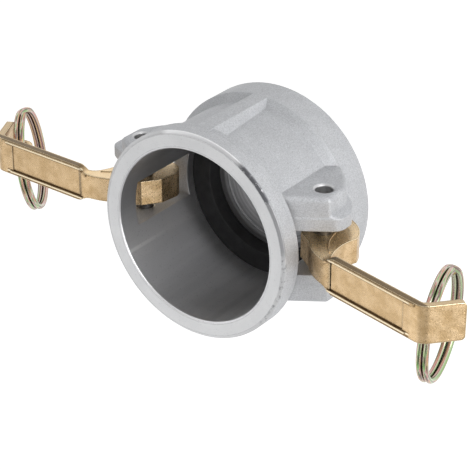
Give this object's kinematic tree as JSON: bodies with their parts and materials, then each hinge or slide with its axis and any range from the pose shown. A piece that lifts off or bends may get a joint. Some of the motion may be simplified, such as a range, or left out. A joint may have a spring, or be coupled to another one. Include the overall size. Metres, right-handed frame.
{
  "type": "cam and groove dust cap",
  "caption": "Round closed cap that slips over a hose adapter and is locked on by hinged cam arms with pull rings; a flat gasket seals it.",
  "frame": {"origin": "centre of the flat back face, at its underside", "axes": "+Z out of the mouth along the bore, +X towards the right-hand arm, +Y along the pivot pins"},
  "size_m": [0.2206, 0.0778, 0.0584],
  "materials": {
    "cast_aluminium": "bead blasted casting with turned faces",
    "rubber": "matt",
    "cast_brass": "tumbled casting",
    "steel": "plain",
    "plated_wire": "passivated zinc with a pink and green tint"
  },
  "bodies": {
    "cap": {"cap_body": "cast_aluminium", "gasket": "rubber", "pivot_pin_right": "steel", "pivot_pin_left": "steel"},
    "right_arm": {"cam_arm_right": "cast_brass"},
    "left_arm": {"cam_arm_left": "cast_brass"},
    "right_ring": {"finger_ring_right": "plated_wire"},
    "left_ring": {"finger_ring_left": "plated_wire"}
  },
  "joints": [
    {"name": "right_arm_pivot", "type": "hinge", "parent": "cap", "child": "right_arm", "pos_m": [0.0389, 0, 0.0302], "axis": [0, -1, 0], "range_deg": [-104, 12]},
    {"name": "left_arm_pivot", "type": "hinge", "parent": "cap", "child": "left_arm", "pos_m": [-0.0389, 0, 0.0302], "axis": [0, 1, 0], "range_deg": [-87, 28]},
    {"name": "right_ring_swing", "type": "hinge", "parent": "right_arm", "child": "right_ring", "pos_m": [0.09305, 0, 0.0503], "axis": [0, -1, 0], "range_deg": [-5, 62]},
    {"name": "left_ring_swing", "type": "hinge", "parent": "left_arm", "child": "left_ring", "pos_m": [-0.09654, 0, 0.03379], "axis": [0, 1, 0], "range_deg": [-76, 0]}
  ]
}
